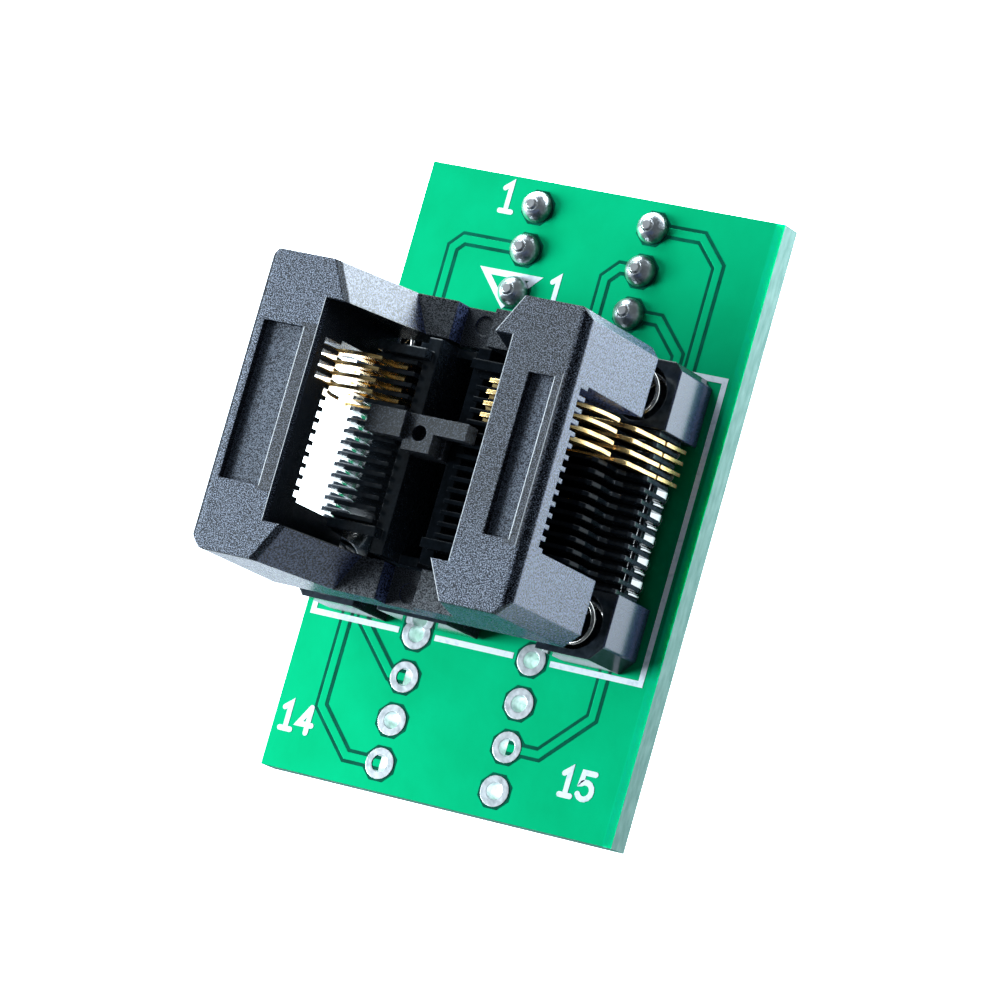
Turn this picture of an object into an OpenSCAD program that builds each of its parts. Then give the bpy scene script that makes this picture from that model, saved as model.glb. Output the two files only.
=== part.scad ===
// Adapter board: a spring-loaded open-top test socket for a small fine-pitch package,
// soldered to a circuit board that plugs into a wider dual-row pin socket.
// Millimetres. The origin is the middle of the fitted pins, at the plane where the
// pin strips seat. +Z is up and +Y runs along the board towards its first pin.

/* [Circuit board] */
// Width of the board across the pin rows
board_w = 23.2; // [22:0.1:28]
// Length of the board along the pin rows
board_l = 36.2; // [36:0.1:44]
// Thickness of the board
board_t = 1.6; // [1:0.1:2.4]
// How far the board's middle lies to the right of the pin field's middle
board_shift = 0.25; // [0:0.05:0.5]

/* [Pin field] */
// Distance between neighbouring pins in a row
pin_pitch = 2.54; // [2.5:0.01:2.6]
// Distance between the two rows
row_gap = 7.62; // [7.4:0.01:7.8]
// Pin positions in each row
row_count = 14; // [14:1:14]
// Positions in each row that carry a pin, counted from the first
fitted_rows = 4; // [3:1:4]
// Diameter of a plated hole
hole_d = 1; // [0.9:0.05:1.1]
// Wall of the plating in a hole
plating = 0.05; // [0.03:0.01:0.08]
// Diameter of the ring around a hole
ring_d = 1.8; // [1.6:0.05:2]
// Height of a ring above the board
ring_t = 0.05; // [0.03:0.01:0.08]

/* [Pin strips] */
// Height of a pin strip
strip_h = 2.8; // [2.2:0.1:3.5]
// Width of a pin strip
strip_w = 2.4; // [2.2:0.05:2.5]
// Diameter of the part of a pin that plugs in
plug_d = 0.5; // [0.4:0.02:0.6]
// Length of the part of a pin that plugs in
plug_l = 3.2; // [2.5:0.1:4]
// Diameter of a pin's neck where it enters its strip
neck_d = 0.6; // [0.55:0.01:0.7]
// Diameter of the collar that holds a pin in its strip
collar_d = 1.3; // [1.1:0.05:1.5]
// Diameter of the pin's upper end, in the board
stem_d = 0.72; // [0.6:0.02:0.8]
// Gap between a pin and its strip
pin_clear = 0.02; // [0.01:0.01:0.05]
// Diameter of a solder dome on top of the board
dome_d = 1.85; // [1.7:0.05:2]
// Height of a solder dome
dome_h = 0.95; // [0.7:0.05:1.2]

/* [Contacts] */
// Distance between neighbouring contacts
contact_pitch = 0.65; // [0.63:0.01:0.67]
// Contact slots on each side
slot_count = 14; // [14:1:14]
// Contacts fitted on each side, counted from the first
fitted_contacts = 4; // [3:1:4]
// Thickness of the sheet that contacts are stamped from
contact_t = 0.22; // [0.18:0.01:0.25]
// Gap between a contact and the slot beside it
slot_clear = 0.09; // [0.06:0.01:0.1]
// Distance of a contact arm's flexing point from the middle
pivot_x = 4.4; // [4.35:0.01:4.5]
// Height of a contact arm's flexing point above the board
pivot_z = 7.8; // [7.7:0.05:8]
// Radius of the arched back of a contact arm
arch_r = 4.8; // [4.7:0.02:4.84]
// Width of the arched strip
arm_w = 0.7; // [0.6:0.02:0.8]
// Radius of the round root of a contact arm
knuckle_r = 0.72; // [0.65:0.01:0.75]
// Running gap round the root
knuckle_clear = 0.03; // [0.02:0.01:0.06]
// Height of the seat on which the package's leads rest
seat_z = 10.8; // [10.6:0.05:10.9]
// Angle through which a contact arm opens
swing = 14; // [10:0.5:15]
// Distance of the outer row of contact tails from the middle
tail_out = 8.9; // [8.8:0.05:9]
// Distance of the inner row of contact tails from the middle
tail_in = 7.6; // [7.5:0.05:7.8]
// Diameter of a plated hole for a contact tail
tail_hole_d = 0.6; // [0.55:0.01:0.65]
// Diameter of the ring around a tail hole
tail_ring_d = 0.95; // [0.85:0.05:1]
// Width of a contact tail
tail_w = 0.4; // [0.35:0.01:0.45]
// Length of a contact tail below the board
tail_below = 0.8; // [0.6:0.05:1]
// Height of the solder round a contact tail
tail_solder_h = 0.6; // [0.4:0.05:0.8]

/* [Socket base] */
// Height of the corner towers
tower_h = 4; // [3.6:0.1:4.4]
// Gap between the board and the raised underside of the base
underside = 0.2; // [0.15:0.01:0.3]
// Thickness of the base's floor
floor_t = 0.4; // [0.3:0.05:0.5]
// Width of the well between the two combs
well_w = 2.4; // [2.2:0.1:2.6]
// Width of the ledge beside the well
ledge_w = 0.8; // [0.6:0.05:0.9]
// Height of the ledge above the board
ledge_z = 10.6; // [10.3:0.05:10.6]
// Height of the comb teeth above the board
comb_z = 11.2; // [11:0.05:11.4]
// Height of the end guides above the board
guide_z = 11.5; // [11.3:0.05:11.8]
// Wall between a spring pocket and the long side
pocket_wall = 0.55; // [0.45:0.05:0.7]
// Wall between a spring pocket and the short end
pocket_end_wall = 0.35; // [0.3:0.05:0.5]
// Depth of a spring pocket in its tower
pocket_h = 3.2; // [2.8:0.1:3.4]

/* [Cover] */
// Width of the cover across its two bars
cover_w = 20.6; // [20.4:0.1:21]
// Length of the cover
cover_l = 17.2; // [17:0.1:17.6]
// Height of the cover's top above the board
cover_z = 15.8; // [15.7:0.05:16.2]
// Height of the cover itself
cover_h = 8.6; // [8.4:0.05:8.8]
// Distance the cover travels when it is pressed
travel = 2.2; // [1.8:0.1:2.2]
// Width of a bar
bar_w = 4.3; // [4.2:0.05:4.5]
// Thickness of a bar at its inner face
bar_t = 2.9; // [2.8:0.05:3]
// Thickness of a bar at its outer face
bar_out_t = 1.95; // [1.8:0.05:2.1]
// Depth of the comb grooves under a bar where no contact is fitted
groove_h = 0.5; // [0.4:0.05:0.6]
// Thickness of a bar above the grooves of the fitted contacts
groove_roof = 1.15; // [1.1:0.01:1.2]
// Thickness of the two end frames
end_t = 2.2; // [2:0.1:2.4]
// How far a ramp's hook stands in from its bar
hook_reach = 1.1; // [0.9:0.05:1.3]
// Turn of a ramp in plan
ramp_turn = 29; // [25:1:32]
// Slope of a ramp from the vertical
ramp_slope = 21; // [18:0.5:23]
// Height of the end blocks above the cover's foot
block_h = 2.8; // [2.6:0.1:3]
// Height of the end frame's middle above the cover's foot
sill_h = 1.5; // [1.3:0.1:1.8]
// Width of the gap between the end blocks
sill_w = 2.44; // [2.2:0.02:2.8]
// Chamfer of the cover's upright corners at the first-pin end
first_corner = 0.55; // [0.4:0.05:0.7]
// Chamfer of the cover's upright corners at the other end
last_corner = 0.85; // [0.7:0.05:1]
// Radius of the cover's long top edges
edge_r = 0.6; // [0.4:0.05:0.8]
// Width of the panel recess in the left bar
left_panel_w = 2.6; // [2:0.1:2.8]
// Width of the panel recess in the right bar
right_panel_w = 1.6; // [1.2:0.1:2]
// How far the right panel recess lies outside its bar's middle
right_panel_shift = 0.25; // [0:0.05:0.3]
// Length of the panel recesses
panel_l = 9.1; // [8:0.1:10]
// Depth of the panel recesses
panel_h = 0.45; // [0.3:0.05:0.5]

/* [Springs] */
// Outer diameter of a coil spring
spring_d = 2.9; // [2.6:0.05:3]
// Diameter of the spring wire
wire_d = 0.28; // [0.22:0.01:0.32]
// Gap between a spring and its pocket
spring_clear = 0.2; // [0.15:0.01:0.25]
// Depth of a spring pocket in the cover
cap_h = 2.4; // [2:0.1:2.6]
// Turns of a spring between its closed ends
open_turns = 5; // [4:1:6]

/* [Package stop] */
// Place of the stop's upper edge along the board
stop_y = 1.6; // [1.5:0.01:1.7]
// Height of the stop above the comb
stop_h = 1.1; // [0.9:0.05:1.3]
// Diameter of the stop's round hole
stop_hole_d = 0.9; // [0.7:0.05:1]
// Width of the stop's middle block
stop_w = 1.8; // [1.6:0.05:2]
// Length of the stop's middle block
stop_l = 2.05; // [1.9:0.05:2.2]
// Reach of the stop's right arm from the middle
stop_arm_reach = 2.9; // [2.6:0.05:3.1]
// Length of the stop's right arm along the board
stop_arm_l = 0.95; // [0.8:0.05:1.1]
// Width of the stop's left block
stop_block_w = 2.3; // [2:0.05:2.5]
// Length of the stop's left block along the board
stop_block_l = 1.5; // [1.3:0.05:1.7]
// Rise of the stop's left block above its middle
stop_block_rise = 0.45; // [0.3:0.05:0.6]
// Depth of the stop's tongue in the well
stop_tongue_h = 1.6; // [1.2:0.1:2.5]
// Gap between the stop's tongue and the well
stop_clear = 0.05; // [0.03:0.01:0.1]

/* [Hidden] */
$fn = 48;
eps = 0.01;
reach = 60;

board_z = strip_h + ring_t;
board_top = board_z + board_t;
field_y = (row_count - fitted_rows) / 2 * pin_pitch;
row_y0 = (row_count - 1) / 2 * pin_pitch;

function pin_y(i) = row_y0 - i * pin_pitch;
function contact_y(i) = ((slot_count - 1) / 2 - i) * contact_pitch;
function tail_x(i) = i % 2 == 0 ? tail_out : tail_in;

comb_l = slot_count * contact_pitch;
fin_t = contact_pitch - contact_t - 2 * slot_clear;
window_l = comb_l + fin_t - 0.03;
groove_w = contact_t + 2 * slot_clear;

base_inset = 0.1;
base_x = cover_w / 2 - base_inset;
base_y = cover_l / 2;
tower_in_y = comb_l / 2 + fin_t / 2 + 0.045;
tower_in_x = cover_w / 2 - bar_w;
pocket_r = spring_d / 2 + spring_clear;
spring_x = base_x - pocket_wall - pocket_r;
spring_y = max(base_y - pocket_end_wall - pocket_r, tower_in_y + pocket_r);
spring_z0 = tower_h - pocket_h;

cover_foot = cover_z - cover_h;
bar_in = cover_w / 2 - bar_w;
groove_z = cover_z - groove_roof;
end_in = cover_l / 2 - end_t;
hook_x = bar_in - hook_reach;
block_z = cover_foot + block_h;
spring_z1 = cover_foot + cap_h;

ledge_out = well_w / 2 + ledge_w;
guide_clear = 0.2;
comb_end = end_in - guide_clear;
rib_t = 0.55;
rib_y = comb_l / 2 + 0.3;
heel_x = base_x - 0.45;
shoulder_x = tower_in_x + 2.15;
shoulder_z = tower_h + 3.2;
web_x = heel_x - 0.4;
web_h = 1.7;

spine_x = 10.05;
foot_z = underside + floor_t + 0.05;
foot_h = 0.6;
pad_in = 2.75;
pad_out = 4.3;

// Puts children, drawn from the board's upper face and the pin field's middle, in place.
module on_board() {
    translate([0, -field_y, board_top]) children();
}

// Draws children on the right side, or mirrored on the left side.
module on_side(side) {
    mirror([side < 0 ? 1 : 0, 0, 0]) children();
}

// Repeats children at every pin position from one row to another, on both sides.
module at_pins(first, last) {
    for (i = [first : last])
        for (side = [-1, 1])
            translate([side * row_gap / 2, pin_y(i), 0]) children();
}

// Repeats children at every contact tail from one slot to another, on both sides.
module at_tails(first, last) {
    for (i = [first : last])
        for (side = [-1, 1])
            translate([side * tail_x(i), contact_y(i), 0]) children();
}

// An upright extrusion of a profile drawn in X and Z, t thick and centred on y.
module plate(y, t) {
    translate([0, y + t / 2, 0]) rotate([90, 0, 0]) linear_extrude(t) children();
}

// A rectangle with round corners.
module round_rect(w, l, r) {
    square([w - 2 * r, l], center = true);
    square([w, l - 2 * r], center = true);
    for (x = [-1, 1])
        for (y = [-1, 1])
            translate([x * (w / 2 - r), y * (l / 2 - r)]) circle(r);
}

// A ring sector from angle a0 to angle a1, at most half a turn, drawn about the origin.
module ring_sector(r_in, r_out, a0, a1) {
    far = 2 * r_out;
    mid = (a0 + a1) / 2;
    intersection() {
        difference() {
            circle(r_out);
            circle(r_in);
        }
        polygon([
            [0, 0], far * [cos(a0), sin(a0)], far * [cos(mid), sin(mid)], far * [cos(a1), sin(a1)]
        ]);
    }
}

module circuit_board() {
    color("mediumseagreen") on_board() difference() {
        translate([board_shift - board_w / 2, -board_l / 2, -board_t]) cube([board_w, board_l, board_t]);
        at_pins(0, row_count - 1)
            translate([0, 0, -board_t - 1]) cylinder(r = hole_d / 2 + plating, h = board_t + 2);
        at_tails(0, slot_count - 1)
            translate([0, 0, -board_t - 1]) cylinder(r = tail_hole_d / 2 + plating, h = board_t + 2);
    }
}

// A plated hole: a thin barrel with a ring on each face of the board.
module eyelet(bore_d, rim_d) {
    rotate_extrude() {
        translate([bore_d / 2, -board_t - ring_t]) square([plating, board_t + 2 * ring_t]);
        for (z = [-board_t - ring_t, 0])
            translate([bore_d / 2, z]) square([(rim_d - bore_d) / 2, ring_t]);
    }
}

module pin_hole_plating() {
    color("gainsboro") on_board() at_pins(0, row_count - 1) eyelet(hole_d, ring_d);
}

module tail_hole_plating() {
    color("gainsboro") on_board() at_tails(0, slot_count - 1) eyelet(tail_hole_d, tail_ring_d);
}

collar_z0 = 0.5;
collar_z1 = strip_h - 0.2;

// A strip of octagonal cells, one for each pin, with a stepped bore through every cell.
module pin_strip(side) {
    color("dimgray") translate([side * row_gap / 2, -field_y, 0]) difference() {
        linear_extrude(strip_h)
            for (i = [0 : fitted_rows - 1])
                translate([0, pin_y(i)]) {
                    rotate(22.5) circle(d = strip_w / cos(22.5), $fn = 8);
                    if (i > 0)
                        translate([-strip_w * 0.4, 0]) square([strip_w * 0.8, pin_pitch]);
                }
        for (i = [0 : fitted_rows - 1])
            translate([0, pin_y(i), 0]) {
                translate([0, 0, -1]) cylinder(r = neck_d / 2 + pin_clear, h = strip_h);
                translate([0, 0, collar_z0]) cylinder(r = collar_d / 2 + pin_clear, h = strip_h);
            }
    }
}

// A turned pin: a round-nosed plug, a collar in the strip and a stem through the board.
module turned_pin(side, i) {
    nose = plug_d / 4;
    top = board_top + dome_h + 0.08;
    stem_r = stem_d / 2;
    color("silver") translate([side * row_gap / 2, pin_y(i) - field_y, 0]) rotate_extrude()
        polygon([
            [0, -plug_l], [plug_d / 2 - nose, -plug_l], [plug_d / 2, nose - plug_l],
            [plug_d / 2, 0], [neck_d / 2, 0],
            [neck_d / 2, collar_z0 + pin_clear], [collar_d / 2, collar_z0 + pin_clear],
            [collar_d / 2, collar_z1], [stem_r, collar_z1], [stem_r, top - 0.1], [stem_r - 0.1, top], [0, top]
        ]);
}

// Solder that fills a plated hole round its pin and stands on the ring as a dome.
module pin_solder_joints() {
    stem_r = stem_d / 2 + pin_clear / 2;
    foot_r = dome_d / 2;
    ball_r = (foot_r * foot_r + dome_h * dome_h) / (2 * dome_h);
    color("silver") on_board() at_pins(0, fitted_rows - 1) {
        rotate_extrude()
            difference() {
                intersection() {
                    translate([0, ring_t + dome_h - ball_r]) circle(ball_r);
                    translate([stem_r, ring_t]) square([foot_r, dome_h + 1]);
                }
                translate([0, dome_h]) square([foot_r, 1]);
            }
        translate([0, 0, -board_t]) rotate_extrude()
            translate([stem_r, 0]) square([hole_d / 2 - pin_clear / 2 - stem_r, board_t + ring_t]);
    }
}

// Solder cones round the contact tails on the board's underside.
module tail_solder_joints() {
    slot = tail_w / 2 + pin_clear / 2;
    color("silver") on_board()
        for (i = [0 : fitted_contacts - 1])
            for (side = [-1, 1])
                translate([side * tail_x(i), contact_y(i), -board_t - ring_t]) difference() {
                    rotate_extrude()
                        polygon([
                            [0, 0], [tail_ring_d / 2, 0], [tail_w * 0.8, -tail_solder_h / 2],
                            [tail_w * 0.68, -tail_solder_h], [0, -tail_solder_h]
                        ]);
                    translate([-slot, -contact_t / 2 - pin_clear / 2, -2 * tail_solder_h])
                        cube([2 * slot, contact_t + pin_clear, 4 * tail_solder_h]);
                }
}

// Outline of one wall between two contact slots: a tall comb tooth inside, a low fin outside.
module fin_outline() {
    polygon([
        [well_w / 2, underside], [heel_x - 0.5, underside], [heel_x, underside + 0.8],
        [heel_x, tower_h - 0.35], [heel_x - 0.2, tower_h - 0.2], [shoulder_x, tower_h - 0.2],
        [tower_in_x, tower_h + 0.1], [tower_in_x - 0.7, tower_h + 2], [tower_in_x - 1, tower_h + 5],
        [tower_in_x - 1.3, comb_z], [ledge_out, comb_z], [ledge_out, ledge_z], [well_w / 2, ledge_z]
    ]);
}

// Outline of the raised part of a wall between two slots, with its rounded outer shoulder.
module shoulder_outline() {
    polygon([
        [tower_in_x - 0.7, tower_h - 0.6], [shoulder_x + 0.4, tower_h - 0.6],
        [shoulder_x + 0.3, tower_h - 0.1], [shoulder_x, tower_h + 0.3],
        [shoulder_x + 0.1, shoulder_z - 1.4], [shoulder_x, shoulder_z - 0.5],
        [shoulder_x - 0.25, shoulder_z - 0.15], [shoulder_x - 0.6, shoulder_z],
        [tower_in_x - 0.1, shoulder_z + 0.1], [tower_in_x - 0.7, shoulder_z + 0.9],
        [tower_in_x - 1, tower_h + 5]
    ]);
}

// A web that closes the foot of an empty slot: flat outside, or round in every other slot.
module slot_web(i) {
    half = groove_w / 2 + eps;
    flat = i % 2 == 0;
    translate([0, contact_y(i), underside]) linear_extrude(web_h) {
        translate([tower_in_x, -half]) square([web_x - tower_in_x - (flat ? 0 : half), 2 * half]);
        if (!flat)
            translate([web_x - half, 0]) circle(half);
    }
}

// A corner tower with its chamfered outer corner.
module tower(chamfer_x, chamfer_y) {
    linear_extrude(tower_h) polygon([
        [tower_in_x, tower_in_y], [base_x, tower_in_y], [base_x, base_y - chamfer_y],
        [base_x - chamfer_x, base_y], [tower_in_x, base_y]
    ]);
}

// One comb wall: the ledge beside the well, the fins, the end guide and the end block.
module comb_wall() {
    translate([well_w / 2, -comb_end, underside]) cube([ledge_w, 2 * comb_end, ledge_z - underside]);
    for (i = [0 : slot_count])
        plate((slot_count / 2 - i) * contact_pitch, fin_t) {
            fin_outline();
            if (i > 0 && i < slot_count)
                shoulder_outline();
        }
    for (i = [fitted_contacts : slot_count - 1])
        slot_web(i);
    for (end = [-1, 1]) {
        plate(end * (comb_l / 2 + (rib_y + rib_t - comb_l / 2) / 2), rib_y + rib_t - comb_l / 2) polygon([
            [well_w / 2, underside], [tower_in_x + 1, underside], [tower_in_x + 0.2, tower_h],
            [tower_in_x - 1, comb_z - 1], [tower_in_x - 1.2, ledge_z], [well_w / 2, ledge_z]
        ]);
        plate(end * (rib_y + rib_t / 2), rib_t) polygon([
            [well_w / 2 + 0.3, ledge_z - 0.3], [tower_in_x - 1.3, ledge_z - 0.3],
            [tower_in_x - 1.4, guide_z], [well_w / 2 + 0.3, guide_z]
        ]);
    }
}

module socket_base() {
    wall_t = 1;
    rib_x = 4.44;
    rib_w = 4.63;
    rib_out = 0.15;
    color([0.12, 0.12, 0.13]) on_board() difference() {
        union() {
            for (side = [-1, 1])
                on_side(side) {
                    comb_wall();
                    tower(0.5, 0.45);
                    mirror([0, 1, 0]) tower(0.8, 0.9);
                }
            translate([-tower_in_x - 1, -comb_end - wall_t, underside])
                cube([2 * tower_in_x + 2, 2 * comb_end + 2 * wall_t, floor_t]);
            for (end = [-1, 1]) {
                translate([-tower_in_x - eps, end * (comb_end + wall_t / 2) - wall_t / 2, underside])
                    cube([2 * tower_in_x + 2 * eps, wall_t, tower_h - underside]);
                translate([-well_w / 2 - eps, end * (comb_end - wall_t / 4) - wall_t / 4, underside])
                    cube([well_w + 2 * eps, wall_t / 2, ledge_z - 2 - underside]);
            }
            translate([-rib_x, -base_y + rib_out, underside])
                cube([rib_w, base_y - rib_out - comb_end, tower_h - underside]);
        }
        for (x = [-1, 1])
            for (y = [-1, 1])
                translate([x * spring_x, y * spring_y, spring_z0]) cylinder(r = pocket_r, h = tower_h);
    }
}

// A stepped bridge between the combs that holds a short package at the first contacts.
module package_stop() {
    color([0.15, 0.15, 0.16]) on_board() difference() {
        union() {
            translate([-stop_w / 2, stop_y - stop_l, comb_z]) cube([stop_w, stop_l, stop_h]);
            translate([0, stop_y - stop_arm_l, comb_z]) cube([stop_arm_reach, stop_arm_l, stop_h]);
            translate([-stop_w / 2 - stop_block_w, stop_y - stop_block_l, comb_z])
                cube([stop_block_w + eps, stop_block_l, stop_h + stop_block_rise]);
            translate([stop_clear - well_w / 2, stop_y - stop_l, comb_z - stop_tongue_h])
                cube([well_w - 2 * stop_clear, stop_l, stop_tongue_h + eps]);
        }
        translate([0, stop_y - stop_l / 2, comb_z]) cylinder(d = stop_hole_d, h = stop_h + stop_block_rise);
    }
}

// The space above an end frame, between the two leaning ramps.
module ramp_space() {
    lean = atan(tan(ramp_slope) * cos(ramp_turn));
    difference() {
        translate([-cover_w / 2, end_in - eps, block_z]) cube([cover_w, end_t + 1, cover_h]);
        for (side = [-1, 1])
            on_side(side)
                translate([hook_x, end_in, cover_z]) rotate([0, lean, -ramp_turn])
                    translate([0, -reach / 2, -reach / 2]) cube(reach);
    }
}

// Outline of the space under the two bars, whose undersides rise towards the outside.
module bar_underside(rise) {
    out = cover_w / 2 + 1;
    in_z = cover_z - bar_t + rise;
    out_z = in_z + (bar_t - bar_out_t) / bar_w * (out - bar_in);
    polygon([[-out, 0], [out, 0], [out, out_z], [bar_in, in_z], [-bar_in, in_z], [-out, out_z]]);
}

// Plan of the cover, with its upright corners cut off.
module cover_plan() {
    x = cover_w / 2;
    y = cover_l / 2;
    polygon([
        [-x + first_corner, y], [x - first_corner, y], [x, y - first_corner], [x, -y + last_corner],
        [x - last_corner, -y], [-x + last_corner, -y], [-x, -y + last_corner], [-x, y - first_corner]
    ]);
}

// The pressing frame: two comb bars on corner posts, joined by low end frames with ramps.
module cover() {
    color([0.16, 0.16, 0.17]) on_board() difference() {
        intersection() {
            translate([0, 0, cover_foot]) linear_extrude(cover_h) cover_plan();
            plate(0, cover_l + 2) translate([0, cover_z - cover_h]) round_rect(cover_w, 2 * cover_h, edge_r);
        }
        translate([-bar_in, -end_in, 0]) cube([2 * bar_in, 2 * end_in, reach]);
        plate(0, window_l) bar_underside(0);
        for (end = [0, 1])
            mirror([0, end, 0]) {
                ramp_space();
                translate([-sill_w / 2, end_in - eps, cover_foot + sill_h])
                    cube([sill_w, end_t + 1, cover_h]);
                translate([0, cover_l / 2 - end_t * 0.4, cover_foot + sill_h - 0.12])
                    cylinder(d = 1.1, h = 1);
                for (side = [-1, 1])
                    translate([side * spring_x, spring_y, 0]) cylinder(r = pocket_r, h = spring_z1);
            }
        for (i = [0 : fitted_contacts - 1])
            translate([-cover_w, contact_y(i) - groove_w / 2, 0]) cube([2 * cover_w, groove_w, groove_z]);
        for (i = [fitted_contacts : slot_count - 1])
            plate(contact_y(i), groove_w) bar_underside(groove_h);
        translate([bar_in + bar_w / 2 + right_panel_shift, 0, cover_z])
            cube([right_panel_w, panel_l, 2 * panel_h], center = true);
        translate([-bar_in - bar_w / 2, 0, cover_z])
            cube([left_panel_w, panel_l, 2 * panel_h], center = true);
    }
}

wire_sides = 6;
turn_steps = 14;
coil_turns = open_turns + 2;
coil_rings = coil_turns * turn_steps;

// Height along the spring's axis at a number of turns: closed end coils, even pitch between.
function coil_z(turn, z0, z1) =
    let (closed = wire_d * 1.05, open = (z1 - z0 - wire_d - 2 * closed) / open_turns)
    z0 + wire_d / 2 + closed * min(turn, 1) + open * max(0, min(turn - 1, open_turns))
    + closed * max(0, turn - 1 - open_turns);

// A point on the wire's surface, at a ring along the wire and a side around it.
function coil_point(ring, side, z0, z1) =
    let (
        turn = ring / turn_steps,
        around = 360 * side / wire_sides,
        r = spring_d / 2 - wire_d / 2 + wire_d / 2 * cos(around)
    )
    [r * cos(360 * turn), r * sin(360 * turn), coil_z(turn, z0, z1) + wire_d / 2 * sin(around)];

// A coil spring seated in a tower's pocket and in the cover's pocket above it.
module return_spring(i) {
    z0 = spring_z0 + eps;
    z1 = spring_z1 - eps;
    points = [
        for (ring = [0 : coil_rings])
            for (side = [0 : wire_sides - 1])
                coil_point(ring, side, z0, z1)
    ];
    walls = [
        for (ring = [0 : coil_rings - 1])
            for (side = [0 : wire_sides - 1])
                let (
                    a = ring * wire_sides + side,
                    b = ring * wire_sides + (side + 1) % wire_sides
                )
                [a, a + wire_sides, b + wire_sides, b]
    ];
    first = [for (side = [0 : wire_sides - 1]) side];
    last = [for (side = [wire_sides - 1 : -1 : 0]) coil_rings * wire_sides + side];
    x = (i % 2 == 0 ? -1 : 1) * spring_x;
    y = (i < 2 ? 1 : -1) * spring_y;
    color("lightsteelblue") on_board() translate([x, y, 0])
        polyhedron(points, concat(walls, [first, last]), convexity = 10);
}

// The fixed part of a contact: tail, foot, lead seat, outer spine and the strip to the root.
module contact_outline(i) {
    spine_w = 0.55;
    spine_lean = 0.65;
    bend_out = 0.95;
    bend_in = bend_out - spine_w;
    bend_z = pivot_z - 2.65;
    bend_x = spine_x - spine_lean - bend_out;
    strip_z = bend_z + bend_in;
    notch = 0.12;
    cup_r = knuckle_r + knuckle_clear;
    translate([pad_in + 0.25, foot_z]) square([spine_x - pad_in - 0.25 - 0.3, foot_h]);
    translate([tail_x(i) - tail_w / 2, -board_t - tail_below])
        square([tail_w, board_t + tail_below + foot_z + foot_h / 2]);
    polygon([
        [pad_in + 0.25, foot_z], [pad_in + 0.85, foot_z], [pad_in + 0.85, seat_z - 1],
        [pad_out, seat_z - 0.35], [pad_out, seat_z], [pad_in, seat_z], [pad_in, seat_z - 0.5]
    ]);
    difference() {
        polygon([
            [spine_x - spine_w - 0.2, foot_z], [spine_x, foot_z], [bend_x + bend_out, bend_z + eps],
            [bend_x + bend_in, bend_z + eps]
        ]);
        translate([spine_x - 0.28, 2.7]) circle(notch);
    }
    translate([bend_x, bend_z]) ring_sector(bend_in, bend_out, 0, 90);
    translate([pivot_x + cup_r + 0.1, strip_z]) square([bend_x - pivot_x - cup_r - 0.1 + eps, spine_w]);
    difference() {
        translate([pivot_x, strip_z]) square([cup_r + spine_w, pivot_z - strip_z]);
        translate([pivot_x, pivot_z]) circle(cup_r);
        translate([pivot_x - 1, strip_z + spine_w]) square([1.2, 2]);
    }
}

module contact(side, i) {
    color("goldenrod") on_board() on_side(side) plate(contact_y(i), contact_t) contact_outline(i);
}

nose_a = 101;
arm_back = arch_r - arm_w;

// The arm that flexes: a round root, a stem, an arched back with its lever end, and a horn
// that the bar's groove presses.
module arm_outline() {
    stem_a = 72;
    stem_w = 0.8;
    lever_a = -4;
    horn_x = 7.2;
    horn_top = groove_z - 1.45;
    translate([pivot_x, pivot_z]) {
        circle(knuckle_r);
        ring_sector(arm_back, arch_r, lever_a, nose_a);
        rotate(stem_a) translate([0, -stem_w / 2]) square([arch_r - arm_w / 2, stem_w]);
    }
    polygon([
        [horn_x - 0.45, pivot_z + arm_back * 0.84], [horn_x + 0.35, pivot_z + arm_back * 0.7],
        [horn_x + 0.3, horn_top - 0.3], [horn_x, horn_top], [horn_x - 0.3, horn_top - 0.3]
    ]);
}

// The nose at the arm's inner end, which holds a package's lead on its seat.
module nose_outline() {
    tip = seat_z + 0.05 - pivot_z;
    mid_r = arch_r - arm_w / 2;
    translate([pivot_x, pivot_z]) polygon([
        mid_r * [cos(nose_a - 2), sin(nose_a - 2)], mid_r * [cos(nose_a - 8), sin(nose_a - 8)],
        [-0.45, tip + 0.25], [-0.65, tip], [-0.85, tip]
    ]);
}

module contact_arm(side, i) {
    color("gold") on_board() on_side(side) {
        plate(contact_y(i), contact_t) arm_outline();
        plate(contact_y(i), contact_t) nose_outline();
    }
}

circuit_board();
pin_hole_plating();
tail_hole_plating();
pin_strip(-1);  // left_pin_strip
pin_strip(1);  // right_pin_strip
for (i = [0 : fitted_rows - 1]) {
    turned_pin(-1, i);
    turned_pin(1, i);
}
pin_solder_joints();
tail_solder_joints();
socket_base();
package_stop();
cover();
for (i = [0 : 3])
    return_spring(i);
for (i = [0 : fitted_contacts - 1]) {
    contact(-1, i);
    contact(1, i);
    contact_arm(-1, i);
    contact_arm(1, i);
}
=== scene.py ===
# %% [markdown]
# # An adapter board with a spring-loaded test socket
# A small green circuit board carries an open-top socket. Its black frame is pressed down, two
# rows of gold contacts open, and a chip is laid between them. The solid pieces come finished
# from CAD, so this lesson dresses them: it gives every piece its finish and adds what is too
# fine for the solids, such as copper tracks, white print and smooth coil springs.

import bpy
import numpy as np
from mathutils import Matrix, Vector


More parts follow.
